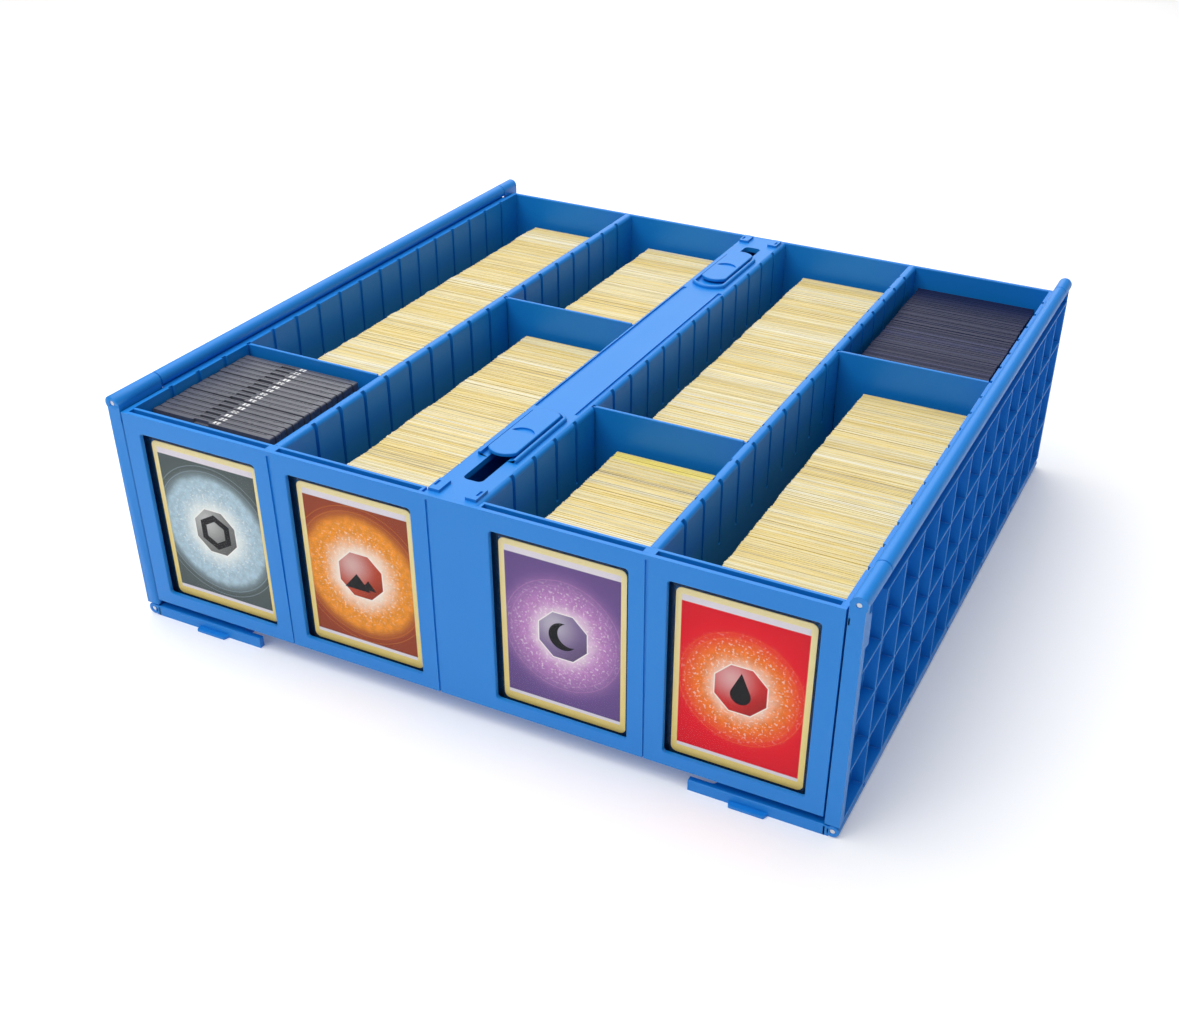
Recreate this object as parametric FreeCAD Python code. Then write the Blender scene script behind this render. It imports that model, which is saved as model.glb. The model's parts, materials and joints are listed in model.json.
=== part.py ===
import FreeCAD, Part
import math
import os

os.makedirs("parts", exist_ok=True)
V = FreeCAD.Vector

# Storage bin for trading cards: an open tray with four rows, a spine down the middle, and on each
# side a folding lid of two leaves that is shown hanging open with its flap tucked under the tray.
# Sizes are in millimetres. The model is drawn from the front bottom edge of the tray, X to the
# right, Y to the back and Z up, and each piece is moved to the middle of the floor when it is saved.

# Cards and their clear holders
card_width = 63.0
card_height = 88.0
card_thick = 0.32
holder_side = 6.6
holder_foot = 4.2
holder_head = 9.4
holder_thick = 1.4
holder_corner = 2.0
card_corner = 3.0
pocket_play = 0.25
card_play = 0.1

# Tray, across
spine_half = 14.5
inner_row_play = 3.0
outer_row_play = 5.0
row_wall_thick = 5.6
row_round = 2.4
side_wall_thick = 2.5
spine_wall_thick = 2.5
slot_start = 1.4
slot_stop = 0.5

# Tray, front to back
skin_thick = 2.1
slot_gap = 3.2
inner_wall_thick = 1.7
back_wall_thick = 2.0
first_groove = 32.6
groove_pitch = 19.9
groove_count = 17
rear_bay = 20.5

# Tray, upwards
floor_thick = 2.0
seat_gap = 0.3
rim_over = 4.4
edge_break = 0.5
spine_cap_thick = 3.0
spine_round = 2.4

# Grooves that take the partitions
groove_reach = 32.8
groove_top_width = 2.2
groove_low_width = 1.3
groove_point = 0.9
side_groove_depth = 1.2
row_groove_depth = 1.8
spine_groove_depth = 1.5

# Windows and joint lines of the front
window_side = 2.3
window_foot = 0.5
window_head = 4.0
window_corner = 1.3
window_bevel = 0.6
seam_depth = 0.8
seam_head = 2.3
seam_knee = 37.0
seam_left_width = 2.4
seam_right_width = 1.7
seam_knee_width = 1.1
seam_foot_width = 0.5
spine_seam_inset = 3.55
spine_seam_width = 1.1

# Lid hinges
hinge_out = 4.8
hinge_up = 3.3
lid_gap = 0.2
rail_radius = 3.9
rail_web_thick = 2.2
front_knuckle = 30.3
rear_knuckle = 16.0
knuckle_gap = 0.4
pin_radius = 1.2
fixed_bore_play = 0.05
turning_bore_play = 0.1
pin_inset = 0.5
pin_length = 64.0
pin_end_play = 0.4
end_round = 1.5

# Lid panels with their egg crate ribs
lid_overhang = 4.5
plate_thick = 1.2
rib_thick = 1.0
crate_rows = 4
crate_columns = 14
crate_foot = 0.2
front_post = 5.5
post_round = 0.8
rear_post = 2.5
plate_top_drop = 6.6
crate_top_drop = 9.9
fold_clear = 0.4
fold_web_in = 2.0
catch_length = 10.0
catch_height = 17.0
catch_thick = 4.0
catch_from_post = 1.5
catch_low_drop = 28.6
catch_round = 3.0

# Flaps that fold under the tray
skid_height = 4.1
skid_gap = 0.3
skid_thick = 3.0
skid_inset = 12.0
inner_skid_in = 21.0
outer_skid_in = 15.8
flap_top = 2.6
flap_skin = 1.5
flap_rim = 1.6
fold_segments = 11
centre_gap = 0.8
tab_out = 3.0
tab_width = 20.0
tab_thick = 1.6
tab_from_edge = 19.5
tab_slant = 1.6

# Latches on the spine
slide_travel = 13.0
latch_home = 43.5
pad_length = 50.0
pad_half = 7.6
pad_bow = 4.0
pad_top = 3.0
pad_thick = 1.6
foot_gap = 0.2
foot_inset = 0.8
stem_half = 4.4
stem_back = 13.5
stem_length = 22.5
stem_play = 0.6
clip_half = 8.5
clip_thick = 1.8
clip_gap = 0.3
clip_corner = 1.2
hole_round = 2.6
hole_from_end = 20.5
boss_start = 42.5
boss_height = 2.0
boss_lip = 1.6
boss_draft = 1.0
boss_bow = 5.2
pad_groove = 1.0
pad_end_play = 0.7
scoop_radius = 6.3
scoop_reach = 2.5
scoop_width = 4.5
scoop_depth = 0.9
ledge_thick = 1.0
ledge_length = 11.0
ledge_play = 0.5
lug_near = 6.6
lug_far = 12.3
lug_height = 1.5
lug_start = 4.2
lug_length = 10.0
lug_nick_in = 1.5
lug_nick_width = 1.3
lug_nick_start = 3.4
lug_nick_length = 4.4
lug_nick_depth = 0.8
notch_play = 0.5
notch_corner = 2.0
notch_start = 3.0
notch_end_play = 1.0
slit_x = 11.3
slit_width = 1.4
slit_depth = 2.0
slit_after_boss = 3.0

# What stands in the rows
partition_thick = 1.6
tab_plate_thick = 0.9
partition_play = 0.4
partition_groove_numbers = (3, 9, 4, 10)
stack_gap = 0.7
front_play = 0.5
behind_partition = 1.0
rear_play = 5.5
before_partition = (3.0, 4.9, 5.4, 5.8)
group_length = 14.0
ragged_up = 0.9
ragged_side = 0.6
sleeve_side = 4.0
sleeve_head = 7.4
sleeve_gap = 5.2
sleeve_front_play = 5.0
slab_count = 16
slab_width = 70.8
slab_pitch = 4.47
slab_space = 0.27

# Places that follow from the sizes
holder_width = card_width + 2 * holder_side
holder_height = card_height + holder_foot + holder_head
inner_row = holder_width + inner_row_play
outer_row = holder_width + outer_row_play
row_in = spine_half + inner_row
row_out = row_in + row_wall_thick
row_mid = (row_in + row_out) / 2
side_in = row_out + outer_row
tray_half = side_in + side_wall_thick
rim = floor_thick + seat_gap + holder_height + rim_over
seat = floor_thick + seat_gap
slot_end = skin_thick + slot_gap
inner_face = slot_end + inner_wall_thick
back_in = first_groove + groove_pitch * (groove_count - 1) + rear_bay
tray_depth = back_in + back_wall_thick
cap_low = rim - spine_cap_thick
hinge_x = tray_half + hinge_out
hinge_z = rim + hinge_up
out_face = hinge_up - lid_gap
fold_z = -(skid_height + skid_gap + flap_top)
floor_z = fold_z - out_face
panel_length = hinge_z - fold_z
flap_edge = panel_length + centre_gap / 2
lid_end = tray_depth + lid_overhang
y_mid = (lid_end - tab_out) / 2
plate_in = hinge_x - rail_radius
boss_half = pad_half + pad_groove + boss_lip
pad_end = latch_home + pad_length
pocket_end = pad_end + pad_end_play
boss_end = pocket_end + boss_lip
notch_half = max(lug_far, boss_half) + notch_play
notch_end = boss_end + notch_end_play
row_centres = (
    -(row_out + side_in) / 2,
    -(spine_half + row_in) / 2,
    (spine_half + row_in) / 2,
    (row_out + side_in) / 2,
)
groove_ys = [first_groove + groove_pitch * k for k in range(groove_count)]


def box(x0, x1, y0, y1, z0, z1):
    return Part.makeBox(x1 - x0, y1 - y0, z1 - z0, V(x0, y0, z0))


def along_y(radius, x, z, y0, y1):
    return Part.makeCylinder(radius, y1 - y0, V(x, y0, z), V(0, 1, 0))


def prism(points, push):
    wire = Part.makePolygon([V(*p) for p in points] + [V(*points[0])])
    return Part.Face(wire).extrude(V(*push))


# A bar along Y whose upper edges are rounded in two flats
def round_topped(x0, x1, y0, y1, z0, z1, radius):
    part = radius * (1 - math.sqrt(0.5))
    points = [(x0, y0, z0), (x1, y0, z0), (x1, y0, z1 - radius), (x1 - part, y0, z1 - part),
              (x1 - radius, y0, z1), (x0 + radius, y0, z1), (x0 + part, y0, z1 - part), (x0, y0, z1 - radius)]
    return prism(points, (0, y1 - y0, 0))


def join(shapes):
    return shapes[0].multiFuse(shapes[1:]).removeSplitter()


def mirrored(shape):
    return shape.mirror(V(0, 0, 0), V(1, 0, 0))


def back_to_front(shape):
    return shape.mirror(V(0, tray_depth / 2, 0), V(0, 1, 0))


def edges_at(shape, test):
    return [e for e in shape.Edges if test(e.BoundBox)]


def flat_at(box_, axis, value):
    low = getattr(box_, axis + "Min")
    high = getattr(box_, axis + "Max")
    return abs(low - value) < 1e-4 and abs(high - value) < 1e-4


def save(name, shape):
    solids = shape.Solids
    piece = solids[0] if len(solids) == 1 else Part.makeCompound(solids)
    piece = piece.copy()
    piece.translate(V(0, -y_mid, -floor_z))
    piece.exportStep("parts/" + name + ".step")


# A groove is widest at the rim and runs down to a point
def groove(x0, x1, y):
    foot = rim - groove_reach
    high = rim + 1.0
    top = groove_top_width / 2
    low = groove_low_width / 2
    points = [(x0, y - top, high), (x0, y + top, high), (x0, y + low, foot),
              (x0, y, foot - groove_point), (x0, y - low, foot)]
    return prism(points, (x1 - x0, 0, 0))


def grooves(x0, x1):
    return Part.makeCompound([groove(x0, x1, y) for y in groove_ys])


# Floor with the skids that stand on the folded flaps
skid_low = -skid_height
pieces = [box(-side_in, side_in, skin_thick, back_in, 0, floor_thick)]
for middle in (flap_edge + inner_skid_in, hinge_x - outer_skid_in):
    for side in (-1, 1):
        x = side * middle
        pieces.append(box(x - skid_thick / 2, x + skid_thick / 2, skid_inset, tray_depth - skid_inset,
                          skid_low, floor_thick))
save("floor_pan", join(pieces))

# Front skin of four panels with a card window each, which meet in three joint lines
window_half = card_width / 2 + window_side
card_low = seat + holder_foot
window_low = card_low + window_foot
window_high = card_low + card_height + window_head
skin = box(-tray_half, tray_half, 0, skin_thick, 0, rim)
upright = edges_at(skin, lambda b: b.ZLength > 1 and flat_at(b, "Y", 0))
skin = skin.makeChamfer(edge_break, upright)
over = edges_at(skin, lambda b: flat_at(b, "Z", rim) and flat_at(b, "Y", 0))
skin = skin.makeChamfer(edge_break, over)
for middle in row_centres:
    hole = box(middle - window_half, middle + window_half, -1, skin_thick + 1, window_low, window_high)
    hole = hole.makeChamfer(window_corner, edges_at(hole, lambda b: b.YLength > 1))
    skin = skin.cut(hole)
rims = edges_at(skin, lambda b: flat_at(b, "Y", 0) and b.ZMin > 1 and b.ZMax < rim - 1)
skin = skin.makeChamfer(window_bevel, rims)


def seam(x, top, knee, foot):
    high = rim - seam_head
    points = [(x - top / 2, -1, high), (x + top / 2, -1, high), (x + knee / 2, -1, seam_knee),
              (x + foot / 2, -1, -1), (x - foot / 2, -1, -1), (x - knee / 2, -1, seam_knee)]
    return prism(points, (0, 1 + seam_depth, 0))


seam_xs = (-row_mid, spine_seam_inset - spine_half, row_mid)
skin = skin.cut(seam(seam_xs[0], seam_left_width, seam_knee_width, seam_foot_width))
skin = skin.cut(seam(seam_xs[1], spine_seam_width, spine_seam_width, spine_seam_width))
skin = skin.cut(seam(seam_xs[2], seam_right_width, seam_knee_width, seam_foot_width))
ends = (-tray_half,) + seam_xs + (tray_half,)
for i in range(4):
    save("front_panel_%d" % (i + 1), skin.common(box(ends[i], ends[i + 1], -1, skin_thick + 1, -1, rim + 1)))

# Wall behind the skin, and the posts between the two that leave four slots for the display cards
wall = box(-side_in, side_in, slot_end, inner_face, floor_thick, rim)
cap_space = box(-spine_half, spine_half, 0, inner_face + 1, cap_low, rim + 1)
save("front_inner_wall", wall.cut(cap_space))
posts = [box(-spine_half - slot_start, spine_half + slot_start, skin_thick, slot_end, floor_thick, rim)]
for side in (-1, 1):
    for a, b in ((row_in, row_out), (side_in - slot_stop, side_in)):
        low, high = sorted((side * a, side * b))
        posts.append(box(low, high, skin_thick, slot_end, floor_thick, rim))
posts[0] = posts[0].cut(cap_space)
save("front_slot_posts", Part.makeCompound(posts))

# Side walls
side = box(side_in, tray_half, skin_thick, back_in, 0, rim)
inner_top = edges_at(side, lambda b: flat_at(b, "Z", rim) and flat_at(b, "X", side_in))
side = side.makeChamfer(edge_break, inner_top)
side = side.cut(grooves(side_in - 1, side_in + side_groove_depth))
save("side_wall_right", side)
save("side_wall_left", mirrored(side))

# Back wall with a rounded top edge
back = box(-tray_half, tray_half, back_in, tray_depth, 0, rim)
back = back.makeChamfer(edge_break, edges_at(back, lambda b: b.XLength > 1 and flat_at(b, "Z", rim)))
back = back.makeChamfer(edge_break, edges_at(back, lambda b: b.ZLength > 1 and flat_at(b, "Y", tray_depth)))
save("back_wall", back)

# Row walls with rounded tops, grooved from both faces so that a web stays between
row = round_topped(row_in, row_out, inner_face, back_in, floor_thick, rim, row_round)
row = row.cut(grooves(row_in - 1, row_in + row_groove_depth))
row = row.cut(grooves(row_out - row_groove_depth, row_out + 1))
save("row_wall_right", row)
save("row_wall_left", mirrored(row))

# Spine walls
spine = box(spine_half - spine_wall_thick, spine_half, inner_face, back_in, floor_thick, cap_low)
spine = spine.cut(grooves(spine_half - spine_groove_depth, spine_half + 1))
save("spine_wall_right", spine)
save("spine_wall_left", mirrored(spine))


# A plan outline with straight sides and bowed ends
def bowed(half, y0, y1, bow0, bow1, z, height):
    low = y0 + bow0
    high = y1 - bow1
    edges = [Part.LineSegment(V(half, low, z), V(half, high, z)).toShape()]
    if bow1:
        edges.append(Part.Arc(V(half, high, z), V(0, y1, z), V(-half, high, z)).toShape())
    else:
        edges.append(Part.LineSegment(V(half, high, z), V(-half, high, z)).toShape())
    edges.append(Part.LineSegment(V(-half, high, z), V(-half, low, z)).toShape())
    if bow0:
        edges.append(Part.Arc(V(-half, low, z), V(0, y0, z), V(half, low, z)).toShape())
    else:
        edges.append(Part.LineSegment(V(-half, low, z), V(half, low, z)).toShape())
    return Part.Face(Part.Wire(edges)).extrude(V(0, 0, height))


# Raised boss round a latch, open at its front, with a thin sloping lip
def boss():
    body = bowed(boss_half, boss_start, boss_end, 0, boss_bow, cap_low + 1, spine_cap_thick - 1 + boss_height)
    lips = edges_at(body, lambda b: flat_at(b, "Z", rim + boss_height) and b.YMax > boss_start + 1)
    body = body.makeChamfer(boss_draft, lips)
    pocket = bowed(pad_half + pad_groove, boss_start - 5, pocket_end, 0, pad_bow, rim, boss_height + 1)
    return body.cut(pocket)


def latch_hole():
    half = stem_half + stem_play
    end = latch_home + stem_back + stem_length + stem_play + hole_round
    hole = box(-half, half, hole_from_end, end, cap_low - 1, rim + 1)
    return hole.makeFillet(hole_round, edges_at(hole, lambda b: b.ZLength > 1))


def lugs():
    made = []
    for side_ in (-1, 1):
        low, high = sorted((side_ * lug_near, side_ * lug_far))
        lug = box(low, high, lug_start, lug_start + lug_length, rim - 1, rim + lug_height)
        lug = lug.makeChamfer(edge_break, edges_at(lug, lambda b: flat_at(b, "Z", rim + lug_height)))
        nick = side_ * (lug_far - lug_nick_in)
        cut = box(nick - lug_nick_width / 2, nick + lug_nick_width / 2, lug_start + lug_nick_start,
                  lug_start + lug_nick_start + lug_nick_length, rim + lug_height - lug_nick_depth, rim + 9)
        made.append(lug.cut(cut))
    return made


# Spine cap: lugs at the ends, a latch boss and hole towards each end, and two slits between
cap = round_topped(-spine_half, spine_half, skin_thick, back_in, cap_low, rim, spine_round)
cap = join([cap, boss(), back_to_front(boss())] + lugs() + [back_to_front(s) for s in lugs()])
cap = cap.cut(latch_hole()).cut(back_to_front(latch_hole()))
slit_from = boss_end + slit_after_boss
for side_ in (-1, 1):
    x = side_ * slit_x
    cap = cap.cut(box(x - slit_width / 2, x + slit_width / 2, slit_from, tray_depth - slit_from,
                      rim - slit_depth, rim + 1))
    low, high = sorted((side_ * (spine_half - spine_groove_depth), side_ * (spine_half + 1)))
    cap = cap.cut(grooves(low, high))
save("spine_cap", cap)


# Latch: a pad with bowed ends and a thumb scoop, a foot on the spine and a stem through the hole
def latch():
    y0 = latch_home
    y1 = pad_end
    top = rim + pad_top
    low = top - pad_thick
    pad = bowed(pad_half, y0, y1, pad_bow, pad_bow, low, pad_thick)
    pad = pad.makeChamfer(edge_break, edges_at(pad, lambda b: flat_at(b, "Z", top)))
    foot = box(-pad_half + foot_inset, pad_half - foot_inset, y0 + stem_back, y1 - pad_bow - edge_break,
               rim + foot_gap, low)
    stem = box(-stem_half, stem_half, y0 + stem_back, y0 + stem_back + stem_length, cap_low - clip_gap, low)
    return join([pad, foot, stem])


# The scoop is a round segment that bows to the back and deepens towards its bow
def scoop(middle):
    apex = middle + scoop_reach
    chord = apex - scoop_width
    top = rim + pad_top
    disc = Part.makeCylinder(scoop_radius, 2 * pad_thick, V(0, apex - scoop_radius, top - pad_thick))
    left = -pad_half - 1
    ramp = prism([(left, chord, top), (left, apex + 1, top - scoop_depth), (left, apex + 1, top + 1),
                  (left, chord, top + 1)], (-2 * left, 0, 0))
    return disc.common(ramp)


def clip():
    y0 = latch_home + stem_back
    top = cap_low - clip_gap
    plate = box(-clip_half, clip_half, y0, y0 + stem_length, top - clip_thick, top)
    return plate.makeChamfer(clip_corner, edges_at(plate, lambda b: b.ZLength > 1))


latch_middle = latch_home + pad_length / 2
save("latch_slider_front", latch().cut(scoop(latch_middle)))
save("latch_clip_front", clip())
shift = V(0, slide_travel / 2, 0)
rear_slider = back_to_front(latch())
rear_slider.translate(shift)
rear_slider = rear_slider.cut(scoop(tray_depth - latch_middle + slide_travel / 2))
save("latch_slider_rear", rear_slider)
rear_clip = back_to_front(clip())
rear_clip.translate(shift)
save("latch_clip_rear", rear_clip)


# The two pins of a hinge, one from each end, and the holes that they sit in
def pins(z):
    front = along_y(pin_radius, hinge_x, z, pin_inset, pin_length)
    rear = along_y(pin_radius, hinge_x, z, lid_end - pin_length, lid_end - end_round - pin_inset)
    return Part.makeCompound([front, rear])


def pin_holes(radius, z):
    front = along_y(radius, hinge_x, z, -1, pin_length + pin_end_play)
    rear = along_y(radius, hinge_x, z, lid_end - pin_length - pin_end_play, lid_end - end_round)
    return Part.makeCompound([front, rear])


# Hinge rail along the top of each side wall, bored for the pins
rail_y0 = front_knuckle + knuckle_gap
rail_y1 = lid_end - rear_knuckle - knuckle_gap
rail = along_y(rail_radius, hinge_x, hinge_z, rail_y0, rail_y1)
web = box(tray_half, hinge_x, rail_y0, rail_y1, rim - rail_web_thick, rim)
rail = join([rail, web])
rail = rail.cut(pin_holes(pin_radius + fixed_bore_play, hinge_z))
save("hinge_rail_right", rail)
save("hinge_rail_left", mirrored(rail))
save("hinge_pins_right", pins(hinge_z))
save("hinge_pins_left", mirrored(pins(hinge_z)))

# Segments of the fold hinge: even ones belong to the flap, odd ones to the panel
segment = lid_end / fold_segments


def segment_span(k):
    y0 = 0 if k == 0 else segment * k + knuckle_gap / 2
    y1 = lid_end if k == fold_segments - 1 else segment * (k + 1) - knuckle_gap / 2
    return y0, y1


# Lid panel: a thin plate with an egg crate of ribs on the side that turns in when it is shut
out_x = hinge_x + out_face
panel_low = fold_z + out_face + fold_clear
crate_high = hinge_z - crate_top_drop
plate_top = hinge_z - plate_top_drop
column = (lid_end - front_post - rear_post + rib_thick) / crate_columns
crate_low = panel_low + crate_foot
row_step = (crate_high - crate_low) / crate_rows
core = box(plate_in, out_x, 0, lid_end, panel_low, crate_high)
core = core.makeFillet(post_round, edges_at(core, lambda b: b.ZLength > 1 and b.YMax < 1))
cells = []
for c in range(crate_columns):
    y0 = front_post + column * c
    y1 = y0 + column - rib_thick
    for r in range(crate_rows):
        z0 = crate_low + row_step * r + rib_thick
        z1 = crate_low + row_step * (r + 1)
        if r == crate_rows - 1:
            z1 = crate_high + 1 if c == 0 else crate_high - rib_thick
        cells.append(box(plate_in + plate_thick, out_x + 1, y0, y1, z0, z1))
core = core.cut(Part.makeCompound(cells))
extra = [core, box(plate_in, plate_in + plate_thick, 0, lid_end, crate_high - 1, plate_top)]
for y0, y1 in ((0, front_knuckle), (lid_end - rear_knuckle, lid_end)):
    extra.append(box(plate_in, plate_in + plate_thick, y0, y1, plate_top - 1, hinge_z))
    knuckle = along_y(rail_radius, hinge_x, hinge_z, y0, y1)
    if y0:
        knuckle = knuckle.makeChamfer(end_round, edges_at(knuckle, lambda b: flat_at(b, "Y", lid_end)))
    extra.append(knuckle)
extra.append(box(plate_in, out_x, 0, front_post, crate_high - 1, hinge_z))
extra.append(box(plate_in, out_x, lid_end - rear_post, lid_end - end_round, crate_high - 1, hinge_z - 1))
catch_y = front_post + catch_from_post
catch_z = hinge_z - catch_low_drop
catch = box(plate_in + plate_thick / 2, plate_in + plate_thick + catch_thick, catch_y, catch_y + catch_length,
            catch_z, catch_z + catch_height)
catch = catch.makeFillet(catch_round, edges_at(catch, lambda b: b.XLength > 1 and b.ZMin > catch_z + 1))
extra.append(catch)
for k in range(1, fold_segments, 2):
    y0, y1 = segment_span(k)
    extra.append(along_y(out_face, hinge_x, fold_z, y0, y1))
    extra.append(box(hinge_x - fold_web_in, out_x, y0, y1, fold_z, panel_low + rib_thick / 2))
panel = join(extra)
bore = pin_radius + turning_bore_play
panel = panel.cut(pin_holes(bore, hinge_z)).cut(pin_holes(pin_radius + fixed_bore_play, fold_z))
save("lid_panel_right", panel)
save("lid_panel_left", mirrored(panel))
save("fold_pins_right", pins(fold_z))
save("fold_pins_left", mirrored(pins(fold_z)))

# Flap: ribbed below, notched round the latches, with a finger tab and two latch ledges
flap_in = flap_edge
flap_out = hinge_x - out_face - knuckle_gap
top_z = fold_z + flap_top
flap = box(flap_in, flap_out, 0, lid_end, floor_z, top_z)
flap = flap.makeChamfer(edge_break, edges_at(flap, lambda b: flat_at(b, "Z", top_z) and flat_at(b, "Y", 0)))
notch_x = flap_in - centre_gap / 2 + notch_half
notches = []
for y0, y1 in ((notch_start, notch_end), (tray_depth - notch_end, tray_depth - notch_start)):
    notch = box(flap_in - 1, notch_x, y0, y1, floor_z - 1, top_z + 1)
    corners = edges_at(notch, lambda b: b.ZLength > 1 and b.XMin > flap_in)
    notches.append(notch.makeFillet(notch_corner, corners))
flap = flap.cut(Part.makeCompound(notches))
middle_x = (flap_in + flap_out) / 2
cells = []
for c in range(crate_columns):
    y0 = front_post + column * c
    y1 = y0 + column - rib_thick
    near = y0 < notch_end + flap_rim or y1 > tray_depth - notch_end - flap_rim
    first = (notch_x if near else flap_in) + flap_rim
    cells.append(box(first, middle_x - rib_thick / 2, y0, y1, floor_z - 1, top_z - flap_skin))
    cells.append(box(middle_x + rib_thick / 2, flap_out - flap_rim, y0, y1, floor_z - 1, top_z - flap_skin))
flap = flap.cut(Part.makeCompound(cells))
extra = [flap]
for k in range(0, fold_segments, 2):
    y0, y1 = segment_span(k)
    knuckle = along_y(out_face, hinge_x, fold_z, y0, y1)
    if k == fold_segments - 1:
        knuckle = knuckle.makeChamfer(end_round, edges_at(knuckle, lambda b: flat_at(b, "Y", lid_end)))
    extra.append(knuckle)
    back_end = lid_end - end_round if k == fold_segments - 1 else y1
    extra.append(box(flap_out - 1, hinge_x, y0, back_end, floor_z, top_z))
ledge_y = boss_start - ledge_play - ledge_length
for y0 in (ledge_y, tray_depth - ledge_y - ledge_length):
    extra.append(box(flap_in, notch_x + 1, y0, y0 + ledge_length, floor_z, floor_z + ledge_thick))
tab_x = flap_in + tab_from_edge
extra.append(prism([(tab_x, 1, floor_z), (tab_x, 0, floor_z), (tab_x + tab_slant, -tab_out, floor_z),
                    (tab_x + tab_width - tab_slant, -tab_out, floor_z), (tab_x + tab_width, 0, floor_z),
                    (tab_x + tab_width, 1, floor_z)], (0, 0, tab_thick)))
flap = join(extra)
flap = flap.cut(pin_holes(bore, fold_z))
save("lid_flap_right", flap)
save("lid_flap_left", mirrored(flap))

# Compartments from left to right, as low X, high X, and groove depth at each side
rows = (
    (-side_in, -row_out, side_groove_depth, row_groove_depth),
    (-row_in, -spine_half, row_groove_depth, spine_groove_depth),
    (spine_half, row_in, spine_groove_depth, row_groove_depth),
    (row_out, side_in, row_groove_depth, side_groove_depth),
)

# Partitions: a plate that fills the row, with a thin tab in the groove at each side
tab_low = rim - groove_reach + partition_play
for i, (x0, x1, left_depth, right_depth) in enumerate(rows):
    y = groove_ys[partition_groove_numbers[i]]
    plate = box(x0 + partition_play, x1 - partition_play, y - partition_thick / 2, y + partition_thick / 2,
                seat, rim)
    plate = plate.makeChamfer(edge_break, edges_at(plate, lambda b: b.XLength > 1 and flat_at(b, "Z", rim)))
    tabs = box(x0 - left_depth + partition_play, x1 + right_depth - partition_play, y - tab_plate_thick / 2,
               y + tab_plate_thick / 2, tab_low, rim - edge_break)
    save("partition_%d" % (i + 1), join([plate, tabs]))

# Display cards, each in a clear rigid holder that drops into the slot of the front wall
holder_front = slot_end - seat_gap - holder_thick
for i, middle in enumerate(row_centres):
    shell = box(middle - holder_width / 2, middle + holder_width / 2, holder_front,
                holder_front + holder_thick, seat, seat + holder_height)
    shell = shell.makeChamfer(holder_corner, edges_at(shell, lambda b: b.YLength > 1))
    half = card_width / 2
    card_front = holder_front + (holder_thick - card_thick) / 2
    pocket = box(middle - half - pocket_play, middle + half + pocket_play, card_front - card_play,
                 card_front + card_thick + card_play, card_low - pocket_play, seat + holder_height + 1)
    save("clear_holder_%d" % (i + 1), shell.cut(pocket))
    card = box(middle - half, middle + half, card_front, card_front + card_thick, card_low,
               card_low + card_height)
    save("display_card_%d" % (i + 1), card.makeFillet(card_corner, edges_at(card, lambda b: b.YLength > 0.1)))


# A row of cards on edge, as groups that stand a little higher or further across than each other
def card_row(x_right, y0, y1, width, height, phase):
    count = max(3, int((y1 - y0) / group_length))
    length = (y1 - y0) / count
    groups = []
    for g in range(count):
        up = ragged_up * (0.5 + 0.5 * math.sin(2.4 * g + phase))
        across = ragged_side * (0.5 + 0.5 * math.sin(1.7 * g + 2 * phase))
        groups.append(box(x_right - width - across, x_right - across, y0 + length * g, y0 + length * (g + 1),
                          seat, seat + height - ragged_up + up))
    return join(groups)


for i, (x0, x1, left_depth, right_depth) in enumerate(rows):
    wall_y = groove_ys[partition_groove_numbers[i]]
    front_end = wall_y - partition_thick / 2 - before_partition[i]
    rear_start = wall_y + partition_thick / 2 + behind_partition
    rear_end = back_in - rear_play
    if i == 0:
        slabs = []
        for k in range(slab_count):
            y = front_end - slab_pitch * (slab_count - k)
            x = x0 + seat_gap + ragged_side * (0.5 + 0.5 * math.sin(2.1 * k))
            slab = box(x, x + slab_width, y, y + slab_pitch - slab_space, seat, seat + holder_height)
            slabs.append(slab)
        save("rigid_holders_row_1", Part.makeCompound(slabs))
    else:
        save("card_stack_row_%d_front" % (i + 1),
             card_row(x1 - stack_gap, inner_face + front_play, front_end, card_width, card_height, 0.9 * i))
    if i == 3:
        save("sleeved_stack_row_4_rear",
             card_row(x1 - sleeve_gap, wall_y + sleeve_front_play, rear_end, card_width + 2 * sleeve_side,
                      card_height + sleeve_head, 2.0))
    else:
        save("card_stack_row_%d_rear" % (i + 1),
             card_row(x1 - stack_gap, rear_start, rear_end, card_width, card_height, 1.3 * i + 0.5))
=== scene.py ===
import json
import math
import random

import bpy
from bpy.props import FloatProperty, FloatVectorProperty, IntProperty, PointerProperty
from mathutils import Matrix, Vector


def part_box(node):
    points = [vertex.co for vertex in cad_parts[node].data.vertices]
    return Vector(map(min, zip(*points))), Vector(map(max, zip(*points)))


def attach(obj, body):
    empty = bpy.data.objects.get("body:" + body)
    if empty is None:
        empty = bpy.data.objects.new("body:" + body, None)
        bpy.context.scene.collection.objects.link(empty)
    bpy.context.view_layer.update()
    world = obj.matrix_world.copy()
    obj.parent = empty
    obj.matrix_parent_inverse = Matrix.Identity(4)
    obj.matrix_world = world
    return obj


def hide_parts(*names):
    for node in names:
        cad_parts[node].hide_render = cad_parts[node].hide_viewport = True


bl_info = {
    "name": "Trading Card Storage Bin",
    "version": (1, 0, 0),
    "blender": (4, 5, 0),
    "location": "3D View > Sidebar > Card Bin",
    "description": "Blue moulded card bin with folding lids, latches, grooved rows and the cards in it",
    "category": "Add Mesh",
}

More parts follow.
